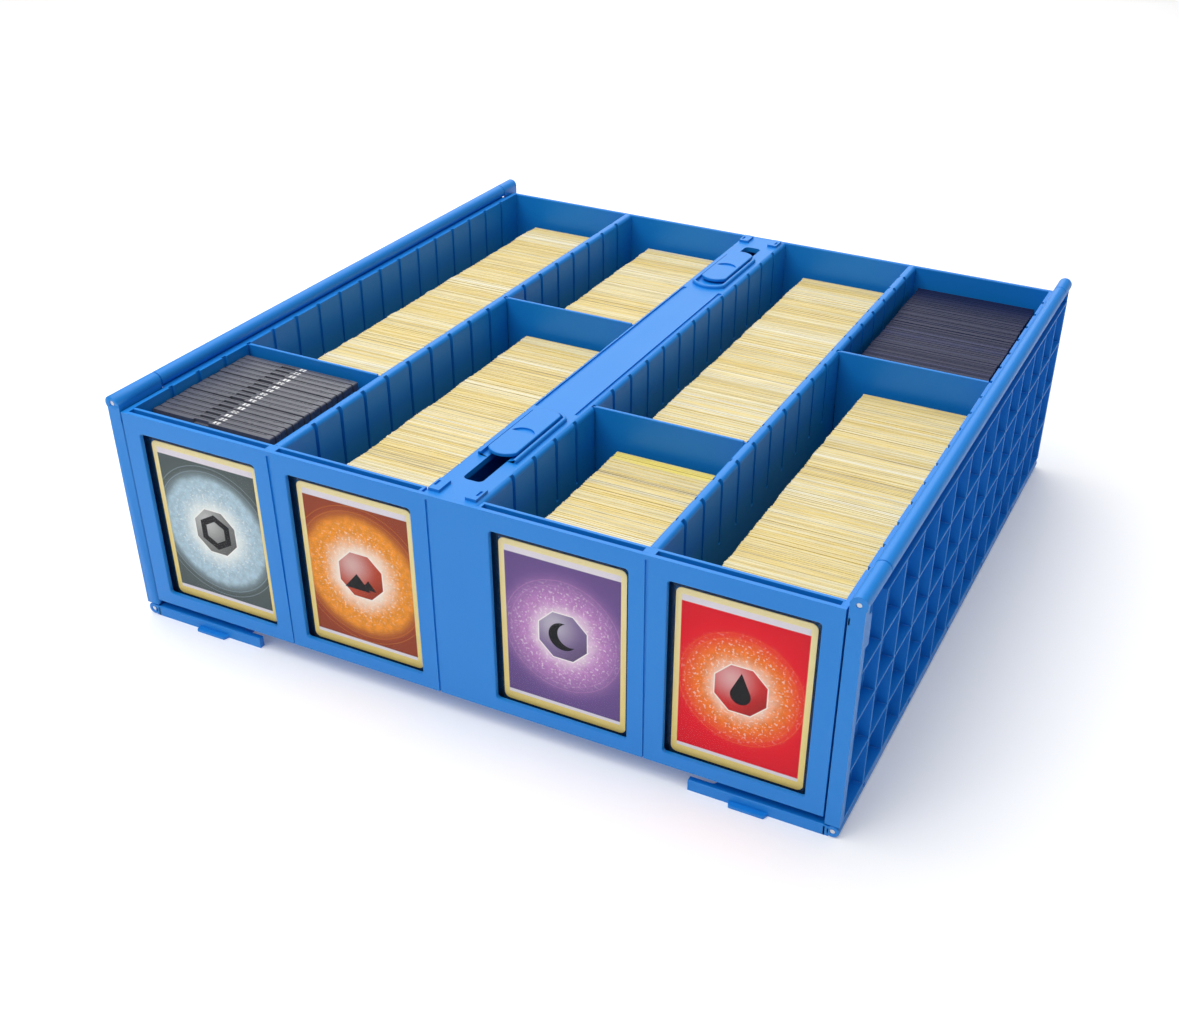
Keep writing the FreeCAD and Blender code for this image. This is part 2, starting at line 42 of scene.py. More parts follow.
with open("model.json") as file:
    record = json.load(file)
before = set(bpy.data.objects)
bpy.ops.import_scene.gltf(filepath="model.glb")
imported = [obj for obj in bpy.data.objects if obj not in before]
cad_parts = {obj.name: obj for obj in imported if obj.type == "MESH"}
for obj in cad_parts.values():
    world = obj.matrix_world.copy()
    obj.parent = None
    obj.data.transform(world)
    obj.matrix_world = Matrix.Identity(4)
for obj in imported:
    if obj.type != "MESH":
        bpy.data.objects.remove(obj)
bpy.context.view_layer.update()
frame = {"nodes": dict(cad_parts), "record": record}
MM = 0.001


def corners(*nodes):
    boxes = [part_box(n) for n in nodes]
    low = Vector([min(b[0][i] for b in boxes) for i in range(3)])
    high = Vector([max(b[1][i] for b in boxes) for i in range(3)])
    return low, high


SKIN = corners("front_panel_1", "front_panel_4")
FRONT = SKIN[0].y
TRAY_MIDDLE = (FRONT + corners("back_wall")[1].y) / 2
RIM = corners("side_wall_right")[1].z
ROW_CENTRES = [sum(corners("display_card_%d" % n), Vector()).x / 2 for n in (1, 2, 3, 4)]

# How far a cutting block stands past the piece it cuts, and the play in finding an edge by its place
PAST = 1 * MM
HAIR = 1e-5

# Depth of the partition grooves in the three kinds of wall
SIDE_GROOVE = 1.2 * MM
ROW_GROOVE = 1.8 * MM
SPINE_GROOVE = 1.5 * MM


# What the bin's lengths and its colours have in common as properties
LENGTH = {"subtype": "DISTANCE", "unit": "LENGTH"}
COLOUR = {"subtype": "COLOR", "size": 3, "min": 0, "max": 1}


class BinSizes(bpy.types.PropertyGroup):
    edge: FloatProperty(name="Moulded edge", description="Softness of the plastic's edges",
                        default=0.3 * MM, **LENGTH)
    rim_round: FloatProperty(name="Wall top", description="Rounding along the tops of the row walls and spine",
                             default=2.4 * MM, **LENGTH)
    window_corner: FloatProperty(name="Window corner", description="Corner radius of the card windows",
                                 default=1.6 * MM, **LENGTH)
    window_bevel: FloatProperty(name="Window bevel", description="Bevel round each card window",
                                default=0.7 * MM, **LENGTH)
    groove_top: FloatProperty(name="Groove mouth", description="Width of a partition groove at the rim",
                              default=2.9 * MM, **LENGTH)
    groove_low: FloatProperty(name="Groove foot", description="Width of a partition groove at its foot",
                              default=1.7 * MM, **LENGTH)
    groove_dot: FloatProperty(name="Groove dot", description="Radius of the dot at a groove's foot",
                              default=1.15 * MM, **LENGTH)
    groove_reach: FloatProperty(name="Groove reach", description="Depth of the grooves below the rim",
                                default=32.8 * MM, **LENGTH)
    groove_pitch: FloatProperty(name="Groove pitch", description="Distance between partition grooves",
                                default=19.9 * MM, **LENGTH)
    groove_count: IntProperty(name="Grooves", description="Grooves along a wall", default=17, min=1)
    card_pitch: FloatProperty(name="Card pitch", description="Distance between the drawn cards of a stack",
                              default=0.74 * MM, **LENGTH)
    sleeve_pitch: FloatProperty(name="Sleeve pitch", description="Distance between the sleeved cards",
                                default=1.1 * MM, **LENGTH)
    ragged: FloatProperty(name="Raggedness", description="How unevenly the cards of a stack stand",
                          default=0.9 * MM, **LENGTH)


class BinColours(bpy.types.PropertyGroup):
    plastic: FloatVectorProperty(name="Plastic", description="Blue of the tray and lids",
                                 default=(0.002, 0.206, 0.664), **COLOUR)
    plastic_worn: FloatVectorProperty(name="Plastic, scuffed", description="Paler blue of scuffs",
                                      default=(0.013, 0.256, 0.738), **COLOUR)
    pin: FloatVectorProperty(name="Pins", description="White of the hinge pins",
                             default=(0.80, 0.82, 0.84), **COLOUR)
    card_cream: FloatVectorProperty(name="Card edge", description="Cream of most card edges",
                                    default=(0.74, 0.66, 0.39), **COLOUR)
    card_yellow: FloatVectorProperty(name="Card edge, yellow", description="Yellow borders among the edges",
                                     default=(0.74, 0.56, 0.16), **COLOUR)
    card_grey: FloatVectorProperty(name="Card edge, grey", description="Grey borders among the edges",
                                   default=(0.34, 0.28, 0.17), **COLOUR)
    border: FloatVectorProperty(name="Card border", description="Border of the display cards",
                                default=(0.92, 0.71, 0.20), **COLOUR)
    holder: FloatVectorProperty(name="Rigid holders", description="Dark grey of the rigid holders",
                                default=(0.070, 0.073, 0.092), **COLOUR)
    sleeve: FloatVectorProperty(name="Sleeves", description="Navy of the card sleeves",
                                default=(0.010, 0.014, 0.052), **COLOUR)
    floor: FloatVectorProperty(name="Floor", description="Pale floor and backdrop",
                               default=(0.93, 0.93, 0.93), **COLOUR)


def sizes():
    return bpy.context.scene.bin_sizes


def colours():
    return bpy.context.scene.bin_colours


# Shader maths

IN_MM = (1000, 1000, 1000)
HALF_IN_MM = 500


class Value:
    def __init__(self, paint, socket):
        self.paint = paint
        self.socket = socket

    def __add__(self, other):
        return self.paint.maths("ADD", self, other)

    __radd__ = __add__

    def __sub__(self, other):
        return self.paint.maths("SUBTRACT", self, other)

    def __rsub__(self, other):
        return self.paint.maths("SUBTRACT", other, self)

    def __mul__(self, other):
        return self.paint.maths("MULTIPLY", self, other)

    __rmul__ = __mul__

    def __pow__(self, other):
        return self.paint.maths("POWER", self, other)

    def __abs__(self):
        return self.paint.maths("ABSOLUTE", self, 0)

    def least(self, other):
        return self.paint.maths("MINIMUM", self, other)

    def most(self, other):
        return self.paint.maths("MAXIMUM", self, other)

    def below(self, edge, soft):
        return self.paint.ramp_between(self, edge + soft, edge - soft)

    def above(self, edge, soft):
        return self.paint.ramp_between(self, edge - soft, edge + soft)


class Paint:
    def __init__(self, name):
        self.material = bpy.data.materials.new(name)
        self.material.use_nodes = True
        self.tree = self.material.node_tree
        self.shader = self.tree.nodes["Principled BSDF"]

    def node(self, kind, settings, inputs, output=0):
        made = self.tree.nodes.new(kind)
        for name, value in settings.items():
            setattr(made, name, value)
        for name, value in inputs.items():
            self.feed(made.inputs[name], value)
        return Value(self, made.outputs[output])

    def feed(self, socket, value):
        if isinstance(value, Value):
            self.tree.links.new(value.socket, socket)
        else:
            socket.default_value = value

    def maths(self, operation, a, b):
        return self.node("ShaderNodeMath", {"operation": operation}, {0: a, 1: b})

    def ramp_between(self, value, low, high):
        inputs = {"Value": value, "From Min": low, "From Max": high}
        return self.node("ShaderNodeMapRange", {"interpolation_type": "SMOOTHSTEP"}, inputs)

    def mix(self, factor, a, b):
        a = tuple(a) + (1,) if not isinstance(a, Value) else a
        b = tuple(b) + (1,) if not isinstance(b, Value) else b
        return self.node("ShaderNodeMix", {"data_type": "RGBA"}, {0: factor, 6: a, 7: b}, 2)

    def place(self, middle=(0, 0, 0), stretch=(1, 1, 1)):
        at = self.node("ShaderNodeTexCoord", {}, {}, "Object")
        at = self.node("ShaderNodeVectorMath", {"operation": "SUBTRACT"}, {0: at, 1: tuple(middle)})
        return self.node("ShaderNodeVectorMath", {"operation": "MULTIPLY"}, {0: at, 1: tuple(stretch)})

    def axes(self, vector):
        split = self.node("ShaderNodeSeparateXYZ", {}, {0: vector}).socket.node
        return [Value(self, s) for s in split.outputs]

    def noise(self, vector, scale, detail=2.0, rough=0.5):
        inputs = {"Vector": vector, "Scale": scale, "Detail": detail, "Roughness": rough}
        return self.node("ShaderNodeTexNoise", {}, inputs)

    def attribute(self, name):
        return self.node("ShaderNodeAttribute", {"attribute_name": name}, {}, "Fac")

    def bump(self, height, distance, strength=1.0):
        return self.node("ShaderNodeBump", {}, {"Strength": strength, "Distance": distance, "Height": height})

    def finish(self, **inputs):
        for name, value in inputs.items():
            socket = self.shader.inputs[name.replace("_", " ")]
            if isinstance(value, (Value, int, float)):
                self.feed(socket, value)
            else:
                self.feed(socket, tuple(value) + (1,))
        return self.material


def blue_plastic():
    p = Paint("blue_plastic")
    c = colours()
    at = p.place()
    cloud = p.noise(at, 9.0, 3.0)
    grain = p.noise(at, 2600.0, 2.0, 0.6)
    flow = p.noise(p.place(stretch=(1, 0.12, 1)), 60.0, 3.0)
    scuff = p.noise(at, 55.0, 6.0, 0.75).above(0.66, 0.07)
    colour = p.mix(cloud.above(0.5, 0.35) * 0.35 + scuff * 0.22, c.plastic, c.plastic_worn)
    rough = 0.36 + flow * 0.10 + grain * 0.06 + scuff * 0.10
    return p.finish(Base_Color=colour, Roughness=rough, Normal=p.bump(grain, 0.00002, 0.35),
                    IOR=1.46, Specular_IOR_Level=0.5)


def pin_white():
    p = Paint("pin_white")
    at = p.place()
    dirt = p.noise(at, 900.0, 4.0, 0.6)
    white = Vector(colours().pin)
    colour = p.mix(dirt.above(0.6, 0.1) * 0.3, white, white * 0.75)
    return p.finish(Base_Color=colour, Roughness=0.35 + dirt * 0.15)


def clear_plastic():
    p = Paint("clear_plastic")
    at = p.place(stretch=IN_MM)
    x, _, z = p.axes(at)
    haze = p.noise(at, 0.7, 5.0, 0.6)
    scratch = p.noise(p.place(stretch=(1, 1, 0.05)), 1600.0, 2.0).above(0.70, 0.03)
    inner, outer = [abs(ROW_CENTRES[i]) / MM for i in (1, 0)]
    aside = abs(abs(abs(x) - (inner + outer) / 2) - (outer - inner) / 2)
    low, high = corners("display_card_1")
    # Painted shade: the margins beside each card pocket and the strips above and below the card are painted dark navy
    # and made half opaque, standing in for the shade of the slot behind the window.
    rim = aside.above(31.8, 0.2).most(z.below(low.z / MM - 0.4, 0.2)).most(z.above(high.z / MM + 0.6, 0.2))
    colour = p.mix(haze, (0.10, 0.11, 0.12), (0.20, 0.21, 0.23))
    colour = p.mix(rim, colour, (0.006, 0.014, 0.038))
    return p.finish(Base_Color=colour, Roughness=0.08 + haze * 0.05 + scratch * 0.2,
                    Alpha=rim * 0.45 + (1 - rim) * (scratch * 0.02 + 0.02), IOR=1.46, Specular_IOR_Level=0.3)


def dark_holder_plastic():
    p = Paint("dark_holder_plastic")
    at = p.place()
    fine = p.noise(p.place(stretch=(0.25, 1, 1)), 500.0, 4.0, 0.6)
    dust = p.noise(at, 2200.0, 3.0, 0.7).above(0.70, 0.05)
    grey = Vector(colours().holder)
    colour = p.mix(fine * 0.4 + dust * 0.15, grey, grey * 2.2 + Vector((0.02, 0.02, 0.03)))
    return p.finish(Base_Color=colour, Roughness=0.22 + fine * 0.14, Normal=p.bump(fine, 0.00003, 0.3))


def tick_white():
    p = Paint("tick_white")
    worn = p.noise(p.place(), 3000.0, 3.0)
    return p.finish(Base_Color=p.mix(worn, (0.78, 0.80, 0.82), (0.92, 0.92, 0.90)), Roughness=0.4 + worn * 0.2)


def card_paper():
    p = Paint("card_paper")
    c = colours()
    tone = p.attribute("tone")
    fibre = p.noise(p.place(stretch=(1, 8, 1)), 900.0, 3.0, 0.6)
    fade = p.noise(p.place(stretch=(1, 30, 0.1)), 55.0, 2.0)
    colour = p.mix(tone.above(0.45, 0.30), c.card_cream, c.card_yellow)
    pale = Vector(c.card_cream).lerp(Vector((0.9, 0.9, 0.85)), 0.5)
    colour = p.mix(tone.below(0.19, 0.06) * 0.8, colour, pale)
    colour = p.mix(tone.above(0.86, 0.03) * 0.8, colour, c.card_grey)
    colour = p.mix(tone.above(1.5, 0.1) * 0.8, colour, (0.94, 0.77, 0.09))
    colour = p.mix(fade.above(0.55, 0.10) * 0.30, colour, pale)
    colour = p.mix(fade.below(0.44, 0.08) * 0.30, colour, (0.50, 0.44, 0.38))
    colour = p.mix(fibre.above(0.62, 0.10) * 0.2, colour, (0.42, 0.36, 0.22))
    return p.finish(Base_Color=colour, Roughness=0.62 + fibre * 0.12, Normal=p.bump(fibre, 0.00004, 0.4))


def sleeve_film():
    p = Paint("sleeve_film")
    tone = p.attribute("tone")
    crease = p.noise(p.place(stretch=(1, 10, 1)), 420.0, 3.0, 0.6)
    navy = Vector(colours().sleeve)
    colour = p.mix(tone.above(0.72, 0.08) * 0.4, navy, navy * 2.4 + Vector((0.006, 0.006, 0.010)))
    colour = p.mix(crease.above(0.68, 0.06) * 0.2, colour, (0.08, 0.08, 0.14))
    return p.finish(Base_Color=colour, Roughness=0.30 + crease * 0.16, Normal=p.bump(crease, 0.00004, 0.4),
                    Specular_IOR_Level=0.14)


def studio_floor():
    p = Paint("studio_floor")
    mist = p.noise(p.place(), 3.0, 2.0)
    pale = Vector(colours().floor)
    colour = p.mix(mist * 0.3, pale, pale * 0.985)
    return p.finish(Base_Color=colour, Roughness=0.7 + mist * 0.1, Emission_Color=colour, Emission_Strength=0.12)


# Motifs of the display cards, as distances in millimetres from the middle of the disc


def facets(u, v, count, radius):
    far = None
    for i in range(count):
        turn = 2 * math.pi * i / count
        side = u * math.cos(turn) + v * math.sin(turn)
        far = side if far is None else far.most(side)
    return far - radius


def ring(u, v, radius):
    return ((u * u + v * v) ** 0.5) - radius


def hexagon_motif(u, v):
    return abs(facets(u, v, 6, 4.6)) - 1.1


def peaks_motif(u, v):
    first = (abs(u + 1.6) * 1.2 + (v + 2.6)).most(-2.4 - v) - 3.0
    second = (abs(u - 2.6) * 1.3 + (v + 3.2)).most(-2.4 - v) - 2.2
    return first.least(second)


def moon_motif(u, v):
    return ring(u, v, 4.8).most(4.1 - ring(u - 2.3, v - 0.9, 0.0))


def drop_motif(u, v):
    tail = (abs(u) * 2.227 + v - 6.0).most(-0.49 - v)
    return tail.least(ring(u, v + 1.8, 3.2))


BADGE = 12.6
MOTIF_SCALE = 0.66

# Node, ground colour, glow colour, edge of the glow and its softness, disc colour, motif
CARDS = (
    ("display_card_1", (0.105, 0.132, 0.132), (0.45, 0.62, 0.72), (30.0, 2.0), (0.21, 0.215, 0.21), hexagon_motif),
    ("display_card_2", (0.36, 0.066, 0.026), (0.95, 0.33, 0.030), (31.0, 2.6), (0.50, 0.064, 0.028), peaks_motif),
    ("display_card_3", (0.175, 0.100, 0.31), (0.66, 0.31, 0.66), (23.0, 13.0), (0.21, 0.145, 0.31), moon_motif),
    ("display_card_4", (0.88, 0.010, 0.026), (1.0, 0.26, 0.030), (22.5, 8.0), (0.62, 0.028, 0.028), drop_motif),
)


def card_face(node, deep, glow, reach, disc, motif):
    p = Paint("print_" + node)
    low, high = corners(node)
    middle = (low + high) / 2
    x, _, z = p.axes(p.place(middle, IN_MM))
    wide, tall = [(high - low)[i] * HALF_IN_MM for i in (0, 2)]
    edge_of_glow, soft = reach
    far = (x * x + z * z) ** 0.5
    swirl = p.noise(p.place(middle), 130.0, 4.0, 0.6)
    sparks = p.noise(p.place(middle), 780.0, 2.0, 0.5)
    hot = Vector(glow).lerp(Vector((1, 1, 0.94)), 0.85)
    colour = p.mix(far.above(34.0, 14.0) * 0.35, deep, Vector(deep) * 0.6)
    colour = p.mix(far.below(edge_of_glow + 3.0, 1.2 + soft * 0.7) * 0.30, colour, glow)
    for more in (3.6, 6.4):
        colour = p.mix(abs(far - (edge_of_glow + more)).below(0.14, 0.2) * 0.4, colour, glow)
    blotch = p.noise(p.place(middle), 330.0, 4.0, 0.65)
    glow_tone = p.mix(blotch.above(0.50, 0.10) * 0.45, glow, Vector(glow) * 0.66)
    colour = p.mix((far + swirl * 4.0).below(edge_of_glow + 2.0, soft), colour, glow_tone)
    colour = p.mix(sparks.above(0.61, 0.04) * far.below(26.0, 6.0) * 0.55, colour, hot)
    colour = p.mix((far + swirl * 8.0).below(edge_of_glow * 0.4 + 8.5, 7.0) * 0.92, colour, hot)
    badge = facets(x, z, 8, BADGE)
    shine = ((x + 4.6) * (x + 4.6) + (z - 5.2) * (z - 5.2)) ** 0.5
    face = p.mix(shine.below(7.0, 8.0) * 0.8, Vector(disc), Vector(disc).lerp(Vector((1, 1, 1)), 0.5))
    face = p.mix((x - z).above(11.0, 9.0) * 0.6, face, Vector(disc) * 0.35)
    face = p.mix(badge.above(-0.55, 0.12), face, hot)
    face = p.mix(motif(x * MOTIF_SCALE, z * MOTIF_SCALE).below(0.0, 0.10), face, (0.010, 0.010, 0.012))
    colour = p.mix(badge.below(0.0, 0.12), colour, face)
    side = abs(x) - (wide - 2.8)
    inner = side.most(z - (tall - 3.0)).most(-1 * z - (tall - 4.4))
    field = side.most(z - (tall - 6.2)).most(-1 * z - (tall - 6.2))
    foil = p.noise(p.place(middle), 300.0, 3.0)
    border = Vector(colours().border)
    # Painted highlight: the border is painted paler towards the top, standing in for the light from above; the foil
    # noise adds a random tone.
    edge = p.mix((z * 0.011 + 0.5) * 0.7 + foil * 0.2, border, border.lerp(Vector((1, 1, 0.8)), 0.5))
    edge = p.mix(inner.below(0.0, 0.1), edge, p.mix(foil * 0.4, (0.86, 0.80, 0.86), (0.70, 0.66, 0.72)))
    edge = p.mix(abs(field).below(0.14, 0.12) * 0.45, edge, Vector(deep) * 0.5)
    colour = p.mix(field.below(0.0, 0.1), edge, colour)
    return p.finish(Base_Color=colour, Roughness=0.30 + foil * 0.10, Specular_IOR_Level=0.12)


MATERIALS = {}


def material(maker):
    if maker not in MATERIALS:
        MATERIALS[maker] = maker()
    return MATERIALS[maker]


# Modelling steps

# Edges that turn by more than this stay sharp
SHARP = math.radians(40)


def take(*objects):
    bpy.ops.object.select_all(action="DESELECT")
    for obj in objects:
        obj.select_set(True)
    bpy.context.view_layer.objects.active = objects[0]
    return objects[0]


def settle():
    bpy.ops.object.transform_apply(location=True, rotation=True, scale=True)
    return bpy.context.object


def block(low, high):
    low, high = Vector(low), Vector(high)
    bpy.ops.object.select_all(action="DESELECT")
    bpy.ops.mesh.primitive_cube_add(size=1, location=(low + high) / 2)
    bpy.context.object.scale = high - low
    return settle()


def bar(radius, start, end, sides=40):
    start, end = Vector(start), Vector(end)
    turn = (end - start).to_track_quat("Z", "Y").to_euler()
    bpy.ops.object.select_all(action="DESELECT")
    bpy.ops.mesh.primitive_cylinder_add(vertices=sides, radius=radius, depth=(end - start).length,
                                        location=(start + end) / 2, rotation=turn)
    return settle()


def pick_faces(obj, test):
    take(obj)
    bpy.ops.object.mode_set(mode="EDIT")
    bpy.ops.mesh.select_mode(type="FACE")
    bpy.ops.mesh.select_all(action="DESELECT")
    bpy.ops.object.mode_set(mode="OBJECT")
    for face in obj.data.polygons:
        face.select = test(face.center, face.normal)
    bpy.ops.object.mode_set(mode="EDIT")


def pick_edges(obj, test):
    take(obj)
    bpy.ops.object.mode_set(mode="EDIT")
    bpy.ops.mesh.select_mode(type="EDGE")
    bpy.ops.mesh.select_all(action="DESELECT")
    bpy.ops.object.mode_set(mode="OBJECT")
    points = obj.data.vertices
    for edge in obj.data.edges:
        a, b = [points[i].co for i in edge.vertices]
        edge.select = test((a + b) / 2, (b - a).normalized())
    bpy.ops.object.mode_set(mode="EDIT")


def done():
    bpy.ops.object.mode_set(mode="OBJECT")
    return bpy.context.object


def round_edges(obj, width, steps, test):
    pick_edges(obj, test)
    bpy.ops.mesh.bevel(offset=width, offset_type="OFFSET", segments=steps, profile=0.5, affect="EDGES")
    return done()


def face_out(obj):
    take(obj)
    bpy.ops.object.mode_set(mode="EDIT")
    bpy.ops.mesh.select_all(action="SELECT")
    bpy.ops.mesh.remove_doubles(threshold=1e-6)
    bpy.ops.mesh.normals_make_consistent(inside=False)
    return done()


def apply(obj, kind, **settings):
    take(obj)
    modifier = obj.modifiers.new(kind.lower(), kind)
    for name, value in settings.items():
        setattr(modifier, name, value)
    bpy.ops.object.modifier_apply(modifier=modifier.name)
    return obj


def cut(obj, *tools, operation="DIFFERENCE"):
    for tool in tools:
        apply(obj, "BOOLEAN", operation=operation, object=tool, solver="EXACT")
        bpy.data.objects.remove(tool)
    return obj


def repeat(obj, count, step):
    return apply(obj, "ARRAY", count=count, use_relative_offset=False, use_constant_offset=True,
                 constant_offset_displace=Vector(step))


def join(*objects):
    take(*objects)
    bpy.ops.object.join()
    return bpy.context.object


def soften(obj, width=None, steps=2):
    apply(obj, "BEVEL", width=width or sizes().edge, segments=steps, limit_method="ANGLE", angle_limit=SHARP,
          use_clamp_overlap=True)
    take(obj)
    bpy.ops.object.shade_smooth_by_angle(angle=SHARP)
    return apply(obj, "WEIGHTED_NORMAL", keep_sharp=True)


def copied(obj, flip=None, about=0.0, shift=(0, 0, 0)):
    take(obj)
    bpy.ops.object.duplicate(linked=False)
    twin = bpy.context.object
    twin.location = Vector(shift)
    if flip is not None:
        twin.scale[flip] = -1
        twin.location[flip] += 2 * about
    take(twin)
    settle()
    if flip is None:
        return twin
    face_out(twin)
    if twin.data.has_custom_normals:
        apply(twin, "WEIGHTED_NORMAL", keep_sharp=True)
    return twin


def hand_over(obj, name, body, paint, slot, *nodes):
    obj.name = name
    obj.data.name = name
    obj.data.materials.clear()
    obj.data.materials.append(paint)
    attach(obj, body)
    if nodes:
        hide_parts(*nodes)


def blue(obj, name, body, *nodes):
    hand_over(obj, name, body, material(blue_plastic), "blue_plastic", *nodes)


def edges_along(axis, above=None):
    return lambda middle, way: abs(way[axis]) > 0.9 and (above is None or middle.z > above)


# The tray


def groove_tools(x0, x1):
    s = sizes()
    first = FRONT + 32.6 * MM
    foot = RIM - s.groove_reach
    half = s.groove_top / 2
    slot = block((x0, first - half, foot), (x1, first + half, RIM + PAST))
    pick_faces(slot, lambda c, n: n.z < -0.5)
    bpy.ops.transform.resize(value=(1, s.groove_low / s.groove_top, 1))
    done()
    repeat(slot, s.groove_count, (0, s.groove_pitch, 0))
    dot = bar(s.groove_dot, (x0, first, foot), (x1, first, foot), 12)
    repeat(dot, s.groove_count, (0, s.groove_pitch, 0))
    return [slot, dot]


# Joint lines of the front: place across, and width at the top, at the knee and at the foot, in millimetres
SEAMS = ((-96.5, 2.4, 1.1, 0.5), (96.5, 1.7, 1.1, 0.5), (-10.95, 1.1, 1.1, 1.1))
SEAM_DEPTH = 0.8 * MM
SEAM_KNEE = 37.0 * MM
SEAM_TOP = 2.3 * MM


def seam_tool(x, top, knee, foot):
    bend = SKIN[0].z + SEAM_KNEE
    tool = block((x - knee / 2, FRONT - PAST, SKIN[0].z - PAST), (x + knee / 2, FRONT + SEAM_DEPTH, bend))
    pick_faces(tool, lambda c, n: n.z < -0.5)
    bpy.ops.transform.resize(value=(foot / knee, 1, 1))
    done()
    pick_faces(tool, lambda c, n: n.z > 0.5)
    bpy.ops.mesh.extrude_region_move(TRANSFORM_OT_translate={"value": (0, 0, RIM - SEAM_TOP - bend)})
    bpy.ops.transform.resize(value=(top / knee, 1, 1))
    done()
    return face_out(tool)


class MakeFront(bpy.types.Operator):
    """Front skin with four windows, their bevels and three joint lines"""
    bl_idname = "card_bin.front"
    bl_label = "Front skin"

    def execute(self, context):
        s = sizes()
        low, high = SKIN
        skin = block(low, high)
        cut(skin, *[seam_tool(*[size * MM for size in seam]) for seam in SEAMS])
        side, foot, head = 2.3 * MM, 0.5 * MM, 4.0 * MM
        for n in (1, 2, 3, 4):
            card_low, card_high = corners("display_card_%d" % n)
            window = block((card_low.x - side, low.y - PAST, card_low.z + foot),
                           (card_high.x + side, high.y + PAST, card_high.z + head))
            round_edges(window, s.window_corner, 5, edges_along(1))
            cut(skin, window)

        def round_a_window(m, way):
            outside = abs(m.y - low.y) < 1e-6 and low.z + 2 * MM < m.z < RIM - 2 * MM
            return outside and any(abs(m.x - x) < 35 * MM for x in ROW_CENTRES)

        round_edges(skin, s.window_bevel, 2, round_a_window)
        blue(soften(skin, 0.35 * MM), "front_skin", "tray", "front_panel_1", "front_panel_2", "front_panel_3",
             "front_panel_4")
        low, high = corners("front_inner_wall")
        wall = block(low, high)
        half = 14.5 * MM
        cut(wall, block((-half, low.y - PAST, 115.4 * MM), (half, high.y + PAST, high.z + PAST)))
        blue(soften(wall), "front_wall_behind_skin", "tray", "front_inner_wall")
        return {"FINISHED"}


class MakeWalls(bpy.types.Operator):
    """Side, row, back and spine walls with the grooves for the partitions"""
    bl_idname = "card_bin.walls"
    bl_label = "Walls"

    def execute(self, context):
        s = sizes()
        low, high = corners("side_wall_right")
        side = cut(block(low, high), *groove_tools(low.x - PAST, low.x + SIDE_GROOVE))
        soften(side, 0.25 * MM, 1)
        blue(copied(side, 0), "wall_side_left", "tray", "side_wall_left")
        blue(side, "wall_side_right", "tray", "side_wall_right")
        low, high = corners("row_wall_right")
        row = block(low, high)
        round_edges(row, s.rim_round, 5, edges_along(1, high.z - HAIR))
        cut(row, *groove_tools(low.x - PAST, low.x + ROW_GROOVE))
        cut(row, *groove_tools(high.x - ROW_GROOVE, high.x + PAST))
        soften(row, 0.18 * MM, 1)
        blue(copied(row, 0), "wall_row_left", "tray", "row_wall_left")
        blue(row, "wall_row_right", "tray", "row_wall_right")
        low, high = corners("spine_wall_right")
        spine = cut(block(low, high), *groove_tools(high.x - SPINE_GROOVE, high.x + PAST))
        soften(spine, 0.18 * MM, 1)
        blue(copied(spine, 0), "wall_spine_left", "tray", "spine_wall_left")
        blue(spine, "wall_spine_right", "tray", "spine_wall_right")
        low, high = corners("back_wall")
        back = block(low, high)
        round_edges(back, 0.9 * MM, 4, edges_along(0, high.z - HAIR))
        blue(soften(back), "wall_back", "tray", "back_wall")
        return {"FINISHED"}


def bowed_plate(half, y0, y1, bow0, bow1, z0, z1, steps=18):
    bpy.ops.object.select_all(action="DESELECT")
    bpy.ops.mesh.primitive_grid_add(x_subdivisions=steps, y_subdivisions=1, size=1, location=(0, (y0 + y1) / 2, z0))
    bpy.context.object.scale = (2 * half, y1 - y0, 1)
    plate = settle()
    for point in plate.data.vertices:
        across = point.co.x / half
        bow, sign = (bow1, -1) if point.co.y > (y0 + y1) / 2 else (bow0, 1)
        if bow:
            radius = (half * half + bow * bow) / (2 * bow)
            point.co.y += sign * (radius - math.sqrt(radius * radius - (across * half) ** 2))
    pick_faces(plate, lambda c, n: True)
    bpy.ops.mesh.extrude_region_move(TRANSFORM_OT_translate={"value": (0, 0, z1 - z0)})
    bpy.ops.mesh.select_all(action="SELECT")
    bpy.ops.mesh.dissolve_limited(angle_limit=math.radians(1))
    done()
    return face_out(plate)


def mirror_tool(tool):
    return tool, copied(tool, 1, TRAY_MIDDLE)


def span(side, near, far):
    return sorted((side * near * MM, side * far * MM))


